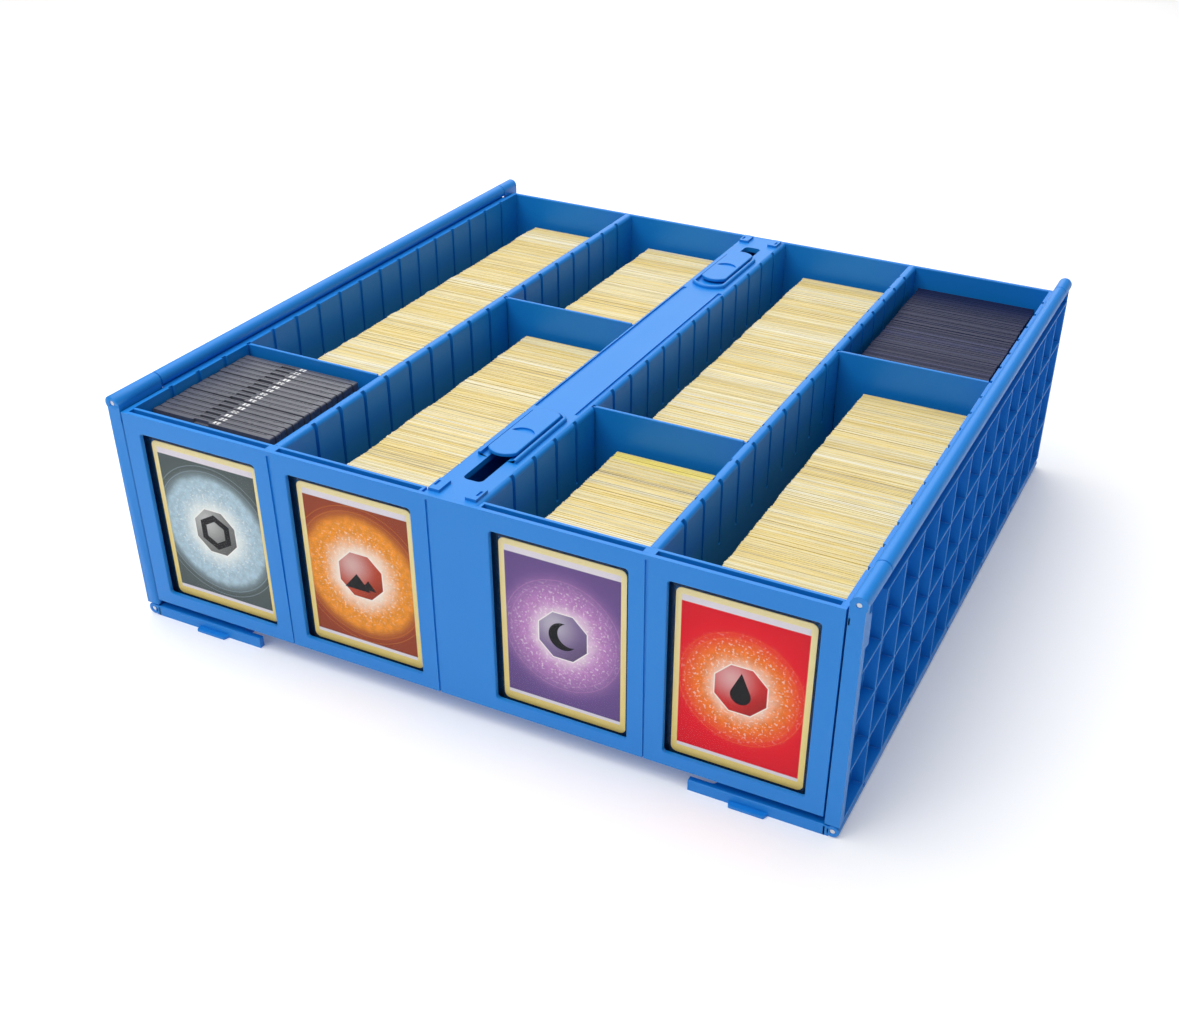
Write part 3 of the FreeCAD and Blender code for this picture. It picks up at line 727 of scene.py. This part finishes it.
class MakeSpine(bpy.types.Operator):
    """Spine cap with its two latch bosses, holes, lugs and slits"""
    bl_idname = "card_bin.spine"
    bl_label = "Spine cap"

    def execute(self, context):
        s = sizes()
        high = corners("spine_wall_left", "spine_wall_right")[1]
        cap_low = high.z
        front = SKIN[1].y
        back = corners("back_wall")[0].y
        cap = block((-high.x, front, cap_low), (high.x, back, RIM))
        round_edges(cap, s.rim_round, 5, edges_along(1, RIM - HAIR))
        boss = bowed_plate(10.2 * MM, FRONT + 42.5 * MM, FRONT + 95.8 * MM, 0, 5.2 * MM, RIM - 1 * MM, RIM + 2 * MM)
        round_edges(boss, 1.0 * MM, 3, lambda m, way: m.z > RIM + 1.9 * MM and m.y > FRONT + 43 * MM)
        cut(boss, bowed_plate(8.6 * MM, FRONT + 37 * MM, FRONT + 94.2 * MM, 0, 4.0 * MM, RIM, RIM + 4 * MM))
        for tool in mirror_tool(boss):
            cut(cap, tool, operation="UNION")
        lugs = []
        for side in (-1, 1):
            x0, x1 = span(side, 6.6, 12.3)
            lug = block((x0, FRONT + 4.2 * MM, RIM - 1 * MM), (x1, FRONT + 14.2 * MM, RIM + 1.5 * MM))
            nick = side * 10.8 * MM
            cut(lug, block((nick - 0.65 * MM, FRONT + 7.6 * MM, RIM + 0.7 * MM),
                           (nick + 0.65 * MM, FRONT + 12.0 * MM, RIM + 3 * MM)))
            lugs.extend(mirror_tool(lug))
        for tool in lugs:
            cut(cap, tool, operation="UNION")
        hole = block((-5 * MM, FRONT + 20.5 * MM, cap_low - PAST), (5 * MM, FRONT + 82.9 * MM, RIM + PAST))
        round_edges(hole, 2.6 * MM, 5, edges_along(2))
        cut(cap, *mirror_tool(hole))
        for side in (-1, 1):
            x0, x1 = span(side, 10.0, 12.2)
            cut(cap, block((x0, FRONT + 98.8 * MM, RIM - 0.9 * MM), (x1, FRONT + 274.7 * MM, RIM + PAST)))
            cut(cap, *groove_tools(*span(side, 13.0, 15.5)))
        blue(soften(cap, 0.22 * MM), "spine_top", "tray", "spine_cap")
        return {"FINISHED"}


class MakeLatches(bpy.types.Operator):
    """Two sliding latches with a bowed pad, a thumb scoop and the clip below the spine"""
    bl_idname = "card_bin.latches"
    bl_label = "Latches"

    def execute(self, context):
        low, high = corners("latch_slider_front")
        top = high.z
        pad_thick, bow = 1.6 * MM, 4 * MM
        pad = bowed_plate(7.6 * MM, low.y, high.y, bow, bow, top - pad_thick, top)
        round_edges(pad, 0.55 * MM, 3, lambda m, way: m.z > top - HAIR)
        inside_pad = top - 1.2 * MM
        stem_back = low.y + 13.5 * MM
        foot = block((-6.8 * MM, stem_back, RIM + 0.2 * MM), (6.8 * MM, high.y - 4.5 * MM, inside_pad))
        stem = block((-4.4 * MM, stem_back, low.z), (4.4 * MM, low.y + 36 * MM, inside_pad))
        slider = cut(pad, foot, stem, operation="UNION")
        half_travel = 6.5 * MM
        rear = copied(slider, 1, TRAY_MIDDLE, (0, half_travel, 0))
        middle = (low.y + high.y) / 2
        rear_middle = 2 * TRAY_MIDDLE - middle + half_travel
        scoop_radius = 6.3 * MM
        for piece, at, end in ((slider, middle, "front"), (rear, rear_middle, "rear")):
            apex = at + 2.5 * MM
            scoop_y = apex - scoop_radius
            scoop = bar(scoop_radius, (0, scoop_y, top - 0.9 * MM), (0, scoop_y, top + PAST), 64)
            take(scoop)
            bpy.ops.object.mode_set(mode="EDIT")
            bpy.ops.mesh.select_all(action="SELECT")
            bpy.ops.mesh.bisect(plane_co=(0, apex - 4.5 * MM, top), plane_no=(0, 0.9, 4.5), use_fill=True,
                                clear_inner=True)
            done()
            cut(piece, scoop)
            blue(soften(piece, 0.2 * MM), "latch_%s_pad" % end, "latch_" + end, "latch_slider_" + end)
        for end in ("front", "rear"):
            low, high = corners("latch_clip_" + end)
            clip = block(low, high)
            round_edges(clip, 1.2 * MM, 4, edges_along(2))
            blue(soften(clip), "latch_%s_clip" % end, "latch_" + end, "latch_clip_" + end)
        return {"FINISHED"}


# The lids

SEGMENTS = 11
CRATE_COLUMNS = 14
CRATE_ROWS = 4
RAIL_RADIUS = 3.9 * MM
FOLD_RADIUS = 3.1 * MM
BORE_RADIUS = 1.3 * MM
KNUCKLE_ROUND = 0.55 * MM
KNUCKLE_PLAY = 0.2 * MM
FRONT_POST = 5.5 * MM
REAR_POST = 2.5 * MM
RIB = 1.0 * MM
PLATE = 1.2 * MM
LID = corners("lid_panel_right")
HINGE_X = LID[1].x - RAIL_RADIUS
HINGE_Z = 121.7 * MM
FOLD_Z = 3.1 * MM
PLATE_IN = HINGE_X - RAIL_RADIUS
RIBS_OUT = HINGE_X + FOLD_RADIUS
CRATE_LOW = 6.6 * MM
CRATE_HIGH = HINGE_Z - 9.9 * MM
CELL_Y = (LID[1].y - LID[0].y - FRONT_POST - REAR_POST + RIB) / CRATE_COLUMNS


def knuckle_span(k):
    step = (LID[1].y - LID[0].y) / SEGMENTS
    y0 = LID[0].y + step * k + (KNUCKLE_PLAY if k else 0)
    y1 = LID[0].y + step * (k + 1) - (KNUCKLE_PLAY if k < SEGMENTS - 1 else 0)
    return y0, y1


def bore(y0, y1, z):
    return bar(BORE_RADIUS, (HINGE_X, y0 - PAST, z), (HINGE_X, y1 + PAST, z), 24)


def knuckle(radius, y0, y1, z, bored=True):
    made = bar(radius, (HINGE_X, y0, z), (HINGE_X, y1, z))
    round_edges(made, KNUCKLE_ROUND, 2, lambda m, way: abs(way.y) < 0.5)
    if bored:
        cut(made, bore(y0, y1, z))
    return made


class MakeRails(bpy.types.Operator):
    """Hinge rails along the tops of the side walls"""
    bl_idname = "card_bin.rails"
    bl_label = "Hinge rails"

    def execute(self, context):
        low, high = corners("hinge_rail_right")
        rail = knuckle(RAIL_RADIUS, low.y, high.y, HINGE_Z, False)
        web = block((low.x, low.y + 0.4 * MM, RIM - 2.2 * MM), (HINGE_X, high.y - 0.4 * MM, RIM))
        soften(cut(rail, web, operation="UNION"), 0.2 * MM)
        blue(copied(rail, 0), "rail_left", "tray", "hinge_rail_left")
        blue(rail, "rail_right", "tray", "hinge_rail_right")
        return {"FINISHED"}


def egg_crate():
    low, high = LID
    step = (CRATE_HIGH - CRATE_LOW - 0.2 * MM) / CRATE_ROWS
    crate = block((PLATE_IN, low.y + 5.0 * MM, CRATE_LOW), (RIBS_OUT, high.y, CRATE_HIGH))
    x0, x1 = PLATE_IN + PLATE, RIBS_OUT + PAST
    y0 = low.y + FRONT_POST
    y1 = y0 + CELL_Y - RIB
    z0 = CRATE_LOW + 0.2 * MM
    lower = block((x0, y0, z0 + RIB), (x1, y1, z0 + step))
    repeat(lower, CRATE_ROWS - 1, (0, 0, step))
    repeat(lower, CRATE_COLUMNS, (0, CELL_Y, 0))
    cut(crate, lower)
    upper = block((x0, y0, z0 + 3 * step + RIB), (x1, y1, z0 + 4 * step - RIB))
    repeat(upper, CRATE_COLUMNS, (0, CELL_Y, 0))
    cut(crate, upper)
    return cut(crate, block((x0, y0, CRATE_HIGH - 3 * MM), (x1, y1, CRATE_HIGH + PAST)))


def hinge_collar(y0, y1, post_end):
    low = LID[0]
    at_front = y0 == low.y
    start = y0 if at_front else post_end - 1 * MM
    foot = CRATE_LOW if at_front else CRATE_HIGH - 0.5 * MM
    skin_in, top = PLATE_IN + 0.04 * MM, HINGE_Z - 0.5 * MM
    collar = bar(RAIL_RADIUS, (HINGE_X, y0, HINGE_Z), (HINGE_X, y1, HINGE_Z))
    round_edges(collar, KNUCKLE_ROUND, 2, lambda m, way: abs(way.y) < 0.5 and abs(m.y - low.y) > 1 * MM)
    post = block((skin_in, start, foot), (RIBS_OUT, post_end, top))
    web = block((skin_in, y0 + 0.5 * MM, HINGE_Z - 7 * MM), (PLATE_IN + PLATE, y1 - 0.5 * MM, top))
    cut(collar, post, web, operation="UNION")
    return cut(collar, bore(y0, y1, HINGE_Z))


def front_catch():
    foot = HINGE_Z - 28.6 * MM
    catch = block((PLATE_IN + 0.6 * MM, LID[0].y + 7 * MM, foot),
                  (PLATE_IN + 5.2 * MM, LID[0].y + 17 * MM, foot + 17 * MM))
    round_edges(catch, 3 * MM, 6, edges_along(0, foot + 10 * MM))
    return catch


class MakeLidPanels(bpy.types.Operator):
    """Lid panels with an egg crate of ribs, their knuckles and the catch at the front"""
    bl_idname = "card_bin.lid_panels"
    bl_label = "Lid panels"

    def execute(self, context):
        low, high = LID
        crate = egg_crate()
        parts = [block((PLATE_IN, low.y, CRATE_HIGH - 0.5 * MM), (PLATE_IN + PLATE, high.y, HINGE_Z - 6.6 * MM))]
        parts.append(hinge_collar(low.y, low.y + 30.3 * MM, low.y + FRONT_POST))
        parts.append(hinge_collar(high.y - 16 * MM, high.y, high.y - 1.5 * MM))
        parts.append(front_catch())
        for k in range(1, SEGMENTS, 2):
            a, b = knuckle_span(k)
            parts.append(knuckle(FOLD_RADIUS, a, b, FOLD_Z, False))
            parts.append(block((HINGE_X - 2 * MM, a, FOLD_Z), (RIBS_OUT, b, CRATE_LOW + 0.5 * MM)))
        panel = join(soften(crate, 0.22 * MM, 1), *[soften(p, 0.25 * MM) for p in parts])
        blue(copied(panel, 0), "crate_panel_left", "lid_left", "lid_panel_left")
        blue(panel, "crate_panel_right", "lid_right", "lid_panel_right")
        return {"FINISHED"}


class MakeFlaps(bpy.types.Operator):
    """Flaps folded under the tray, with notches, ribs, knuckles, latch ledges and a finger tab"""
    bl_idname = "card_bin.flaps"
    bl_label = "Lid flaps"

    def execute(self, context):
        low, high = LID
        flap_in = corners("lid_flap_right")[0].x
        flap_out = HINGE_X - 3.5 * MM
        top = 5.7 * MM
        skin, rim = 1.5 * MM, 1.6 * MM
        flap = block((flap_in, low.y, 0), (flap_out, high.y, top))
        round_edges(flap, 0.7 * MM, 3, edges_along(0, top - HAIR))
        half_gap, boss_room = 0.4 * MM, 12.8 * MM
        notch_x = flap_in - half_gap + boss_room
        depth = 2 * (TRAY_MIDDLE - low.y)
        for a, b in ((3.0, 96.8), (depth / MM - 96.8, depth / MM - 3.0)):
            notch = block((flap_in - PAST, low.y + a * MM, -PAST), (notch_x, low.y + b * MM, top + PAST))
            round_edges(notch, 2 * MM, 4, lambda m, way: abs(way.z) > 0.9 and m.x > flap_in)
            cut(flap, notch)
        middle = (flap_in + flap_out) / 2
        outer = block((middle + RIB / 2, low.y + FRONT_POST, -PAST),
                      (flap_out - rim, low.y + 4.5 * MM + CELL_Y, top - skin))
        repeat(outer, CRATE_COLUMNS, (0, CELL_Y, 0))
        notch_end = 98.4 * MM
        inner = []
        for c in range(CRATE_COLUMNS):
            a = low.y + FRONT_POST + CELL_Y * c
            b = a + CELL_Y - RIB
            near = a < low.y + notch_end or b > low.y + depth - notch_end
            first = (notch_x if near else flap_in) + rim
            inner.append(block((first, a, -PAST), (middle - RIB / 2, b, top - skin)))
        cut(flap, outer, join(*inner))
        parts = []
        for k in range(0, SEGMENTS, 2):
            last = k == SEGMENTS - 1
            a, b = knuckle_span(k)
            parts.append(knuckle(FOLD_RADIUS, a, b, FOLD_Z, k == 0 or last))
            b = b - 1.5 * MM if last else b
            parts.append(block((flap_out - 1 * MM, a, 0), (HINGE_X - 1.6 * MM, b, top)))
        for a in (low.y + 31 * MM, low.y + depth - 42 * MM):
            parts.append(block((flap_in, a, 0), (notch_x + 1 * MM, a + 11 * MM, 1 * MM)))
        tab_x = flap_in + 19.5 * MM
        tab = block((tab_x, low.y - 3 * MM, 0), (tab_x + 20 * MM, low.y + 1 * MM, 1.6 * MM))
        pick_faces(tab, lambda c, n: n.y < -0.5)
        bpy.ops.transform.resize(value=(0.84, 1, 1))
        done()
        parts.append(tab)
        flap = join(soften(flap, 0.25 * MM), *[soften(p, 0.25 * MM) for p in parts])
        blue(copied(flap, 0), "fold_flap_left", "flap_left", "lid_flap_left")
        blue(flap, "fold_flap_right", "flap_right", "lid_flap_right")
        return {"FINISHED"}


class MakePartitions(bpy.types.Operator):
    """Four partitions with a rounded top and a tab in the groove at each side"""
    bl_idname = "card_bin.partitions"
    bl_label = "Partitions"

    def execute(self, context):
        walls = ((SIDE_GROOVE, ROW_GROOVE), (ROW_GROOVE, SPINE_GROOVE), (SPINE_GROOVE, ROW_GROOVE),
                 (ROW_GROOVE, SIDE_GROOVE))
        for n, (left, right) in enumerate(walls, 1):
            low, high = corners("partition_%d" % n)
            y = (low.y + high.y) / 2
            plate = block((low.x + left, low.y, low.z), (high.x - right, high.y, high.z))
            round_edges(plate, 0.6 * MM, 4, edges_along(0, high.z - HAIR))
            half = 0.45 * MM
            tabs = block((low.x, y - half, RIM - 32.4 * MM), (high.x, y + half, RIM - 0.6 * MM))
            made = join(soften(plate, 0.2 * MM), soften(tabs, 0.2 * MM))
            blue(made, "divider_plate_%d" % n, "divider_%d" % n, "partition_%d" % n)
        return {"FINISHED"}


# The cards

# Corners of one card, and cards from one turn of a row's slow swell to the next
CARD_POINTS = 8
SWELL_CARDS = 9

# Tone that is painted bright yellow, and how many such cards stand together
BRIGHT = 2.0
BRIGHT_CARDS = 10


def tones(obj, values):
    layer = obj.data.attributes.new("tone", "FLOAT", "POINT")
    for i, item in enumerate(layer.data):
        item.value = values[i // CARD_POINTS]


def ragged_row(node, pitch, share, seed, swell):
    chance = random.Random(seed)
    low, high = corners(node)
    count = int((high.y - low.y) / pitch)
    step = (high.y - low.y) / count
    play = 0.1 * MM
    card = block((low.x + 0.6 * MM, low.y, low.z), (high.x - play, low.y + step * share, high.z))
    repeat(card, count, (0, step, 0))
    slow = [chance.uniform(0, 1) for _ in range(count // SWELL_CARDS + 3)]
    values = []
    for i in range(count):
        group, part = divmod(i, SWELL_CARDS)
        base = slow[group] * (1 - part / SWELL_CARDS) + slow[group + 1] * part / SWELL_CARDS
        drop = swell * (0.15 + 0.55 * base + 0.30 * chance.uniform(0, 1))
        across = chance.uniform(-0.5, 0.1) * MM + (base - 0.5) * 0.5 * MM
        across = min(across, play)
        lean = chance.uniform(-0.12, 0.12) * MM
        for point in card.data.vertices[CARD_POINTS * i:CARD_POINTS * (i + 1)]:
            if point.co.z > low.z + 1 * MM:
                point.co.z -= drop
                if 0 < i < count - 1:
                    point.co.y += lean
            point.co.x = min(max(point.co.x + across, low.x), high.x)
        values.append(0.45 * base + 0.55 * chance.uniform(0, 1))
    if node == "card_stack_row_3_front":
        values[-BRIGHT_CARDS:] = [BRIGHT] * BRIGHT_CARDS
    tones(card, values)
    return card


class MakeCardRows(bpy.types.Operator):
    """Rows of loose cards on edge and the row of sleeved cards"""
    bl_idname = "card_bin.card_rows"
    bl_label = "Card rows"

    def execute(self, context):
        s = sizes()
        nodes = ("card_stack_row_1_rear", "card_stack_row_2_front", "card_stack_row_2_rear", "card_stack_row_3_front",
                 "card_stack_row_3_rear", "card_stack_row_4_front")
        for seed, node in enumerate(nodes):
            row = ragged_row(node, s.card_pitch, 0.86, seed + 3, s.ragged)
            hand_over(row, node.replace("card_stack", "loose_cards"), node, material(card_paper), "card_edges", node)
        row = ragged_row("sleeved_stack_row_4_rear", s.sleeve_pitch, 0.80, 21, s.ragged)
        hand_over(row, "sleeved_cards_row_4_rear", "sleeved_stack_row_4_rear", material(sleeve_film), "navy_sleeves",
                  "sleeved_stack_row_4_rear")
        return {"FINISHED"}


class MakeRigidHolders(bpy.types.Operator):
    """Sixteen dark rigid holders, each with a line, a notch and two white ticks along its top"""
    bl_idname = "card_bin.rigid_holders"
    bl_label = "Rigid holders"

    def execute(self, context):
        low, high = corners("rigid_holders_row_1")
        wide, thick, inset = 70.8 * MM, 3.75 * MM, 4 * MM
        count, pitch = 16, 4.47 * MM
        chance = random.Random(5)
        holder = block(low, (low.x + wide, low.y + thick, high.z))
        round_edges(holder, 0.9 * MM, 3, edges_along(1, high.z - HAIR))
        middle = low.y + 2.1 * MM
        cut(holder, block((low.x + inset, middle + 0.6 * MM, high.z - 0.35 * MM),
                          (low.x + wide - inset, middle + 0.9 * MM, high.z + PAST)))
        cut(holder, block((low.x + 25.2 * MM, low.y - PAST, high.z - 1.8 * MM),
                          (low.x + 34.2 * MM, low.y + 1.3 * MM, high.z + PAST)))
        soften(holder, 0.22 * MM)
        tick_wide, tick_tall = 1.6 * MM, 0.4 * MM
        marks = []
        for x in (36.0 * MM, 38.1 * MM):
            mark = block((low.x + x, middle - 1.4 * MM, high.z - tick_tall),
                         (low.x + x + tick_wide, middle + 1.0 * MM, high.z))
            marks.append(soften(mark, 0.12 * MM, 1))
        tick = join(*marks)
        holders, ticks = [], []
        for k in range(count):
            drop = chance.uniform(0, 0.4) * MM
            shift = (0.3 + 0.3 * math.sin(2.1 * k)) * MM
            for made, twins in ((holder, holders), (tick, ticks)):
                twin = copied(made, shift=(shift, pitch * k, 0))
                for point in twin.data.vertices:
                    if point.co.z > high.z - 20 * MM:
                        point.co.z -= drop
                twins.append(twin)
        bpy.data.objects.remove(holder)
        bpy.data.objects.remove(tick)
        hand_over(join(*holders), "rigid_holder_set", "rigid_holders_row_1", material(dark_holder_plastic),
                  "dark_grey_plastic", "rigid_holders_row_1")
        hand_over(join(*ticks), "holder_ticks", "rigid_holders_row_1", material(tick_white), "white_nylon")
        return {"FINISHED"}


class MakeDisplayCards(bpy.types.Operator):
    """Display cards behind the windows, printed with made-up motifs"""
    bl_idname = "card_bin.display_cards"
    bl_label = "Display cards"

    def execute(self, context):
        for n, (node, deep, glow, reach, disc, motif) in enumerate(CARDS, 1):
            low, high = corners(node)
            card = block(low, high)
            round_edges(card, 3.0 * MM, 7, edges_along(1))
            take(card)
            bpy.ops.object.shade_smooth_by_angle(angle=SHARP)
            slot = "card_" + ("grey", "orange", "purple", "red")[n - 1]
            hand_over(card, "printed_card_%d" % n, "window_card_%d" % n,
                      card_face(node, deep, glow, reach, disc, motif), slot, node)
        return {"FINISHED"}


class DressNodes(bpy.types.Operator):
    """Plastic finishes on the parts that come from the construction as they are"""
    bl_idname = "card_bin.dress"
    bl_label = "Finishes"

    def execute(self, context):
        paints = {"blue_plastic": blue_plastic, "white_nylon": pin_white, "clear_plastic": clear_plastic,
                  "dark_grey_plastic": dark_holder_plastic, "card_edges": card_paper, "navy_sleeves": sleeve_film}
        slots = {s["node"]: s["material_slot"] for s in frame["record"]["subparts"]}
        for name, obj in frame["nodes"].items():
            slot = slots[name]
            if slot not in paints:
                continue
            paint = material(paints[slot])
            if not obj.material_slots:
                obj.data.materials.append(paint)
            for place in obj.material_slots:
                place.material = paint
        return {"FINISHED"}


SKY = 0.28
LAMP_AIM = Vector((0, 0, 0.06))

# Name, place, width in metres, power in watts
LAMPS = (
    ("key_above", (-0.40, -0.20, 1.8), 2.4, 43.5),
    ("fill_front", (-0.6, -1.7, 1.4), 1.2, 6.0),
    ("rear_sheen", (-0.65, 1.45, 1.0), 1.5, 10.0),
)

# The camera as solved from the photograph
EYE = (0.30759, -0.63792, 0.43242)
EYE_RIGHT = Vector((0.90419341, 0.42649304, 0.02319394))
EYE_DOWN = Vector((0.25119924, -0.48706996, -0.83645788))
EYE_AHEAD = Vector((-0.34544639, 0.76214601, -0.54754018))
LENS = 43.70
LENS_SHIFT = (-0.0611, 0.0573)


class MakeStage(bpy.types.Operator):
    """Pale floor, soft studio light and the camera"""
    bl_idname = "card_bin.stage"
    bl_label = "Stage"

    def execute(self, context):
        scene = context.scene
        scene.view_settings.view_transform = "Standard"
        bpy.ops.object.select_all(action="DESELECT")
        bpy.ops.mesh.primitive_plane_add(size=12, location=(0, 0, 0))
        floor = bpy.context.object
        floor.name = "studio_floor"
        floor.data.materials.append(material(studio_floor))
        world = scene.world or bpy.data.worlds.new("studio")
        scene.world = world
        world.use_nodes = True
        sky = world.node_tree.nodes["Background"]
        sky.inputs["Color"].default_value = (1.0, 1.0, 1.0, 1.0)
        sky.inputs["Strength"].default_value = SKY
        for name, spot, wide, power in LAMPS:
            lamp = bpy.data.lights.new(name, "AREA")
            lamp.size = wide
            lamp.energy = power
            obj = bpy.data.objects.new(name, lamp)
            obj.location = spot
            obj.rotation_euler = (LAMP_AIM - Vector(spot)).to_track_quat("-Z", "Y").to_euler()
            scene.collection.objects.link(obj)
        lens = bpy.data.cameras.new("camera")
        lens.sensor_width = 36.0
        lens.lens = LENS
        lens.shift_x, lens.shift_y = LENS_SHIFT
        camera = bpy.data.objects.new("camera", lens)
        turn = Matrix((EYE_RIGHT, -EYE_DOWN, -EYE_AHEAD)).transposed()
        camera.matrix_world = Matrix.Translation(EYE) @ turn.to_4x4()
        scene.collection.objects.link(camera)
        scene.camera = camera
        return {"FINISHED"}


PIECES = (MakeFront, MakeWalls, MakeSpine, MakeLatches, MakeRails, MakeLidPanels, MakeFlaps, MakePartitions,
          MakeCardRows, MakeRigidHolders, MakeDisplayCards, DressNodes, MakeStage)


class CardBinPanel(bpy.types.Panel):
    bl_idname = "VIEW3D_PT_card_bin"
    bl_label = "Card bin"
    bl_space_type = "VIEW_3D"
    bl_region_type = "UI"
    bl_category = "Card Bin"

    def draw(self, context):
        for group in (context.scene.bin_sizes, context.scene.bin_colours):
            column = self.layout.column()
            for name in group.bl_rna.properties.keys():
                if name not in ("rna_type", "name"):
                    column.prop(group, name)
        for piece in PIECES:
            self.layout.operator(piece.bl_idname)


CLASSES = (BinSizes, BinColours) + PIECES + (CardBinPanel,)


def register():
    for kind in CLASSES:
        bpy.utils.register_class(kind)
    bpy.types.Scene.bin_sizes = PointerProperty(type=BinSizes)
    bpy.types.Scene.bin_colours = PointerProperty(type=BinColours)


def unregister():
    del bpy.types.Scene.bin_sizes
    del bpy.types.Scene.bin_colours
    for kind in reversed(CLASSES):
        bpy.utils.unregister_class(kind)


def main():
    register()
    bpy.ops.card_bin.front()
    bpy.ops.card_bin.walls()
    bpy.ops.card_bin.spine()
    bpy.ops.card_bin.latches()
    bpy.ops.card_bin.rails()
    bpy.ops.card_bin.lid_panels()
    bpy.ops.card_bin.flaps()
    bpy.ops.card_bin.partitions()
    bpy.ops.card_bin.card_rows()
    bpy.ops.card_bin.rigid_holders()
    bpy.ops.card_bin.display_cards()
    bpy.ops.card_bin.dress()
    bpy.ops.card_bin.stage()


if __name__ == "__main__":
    main()
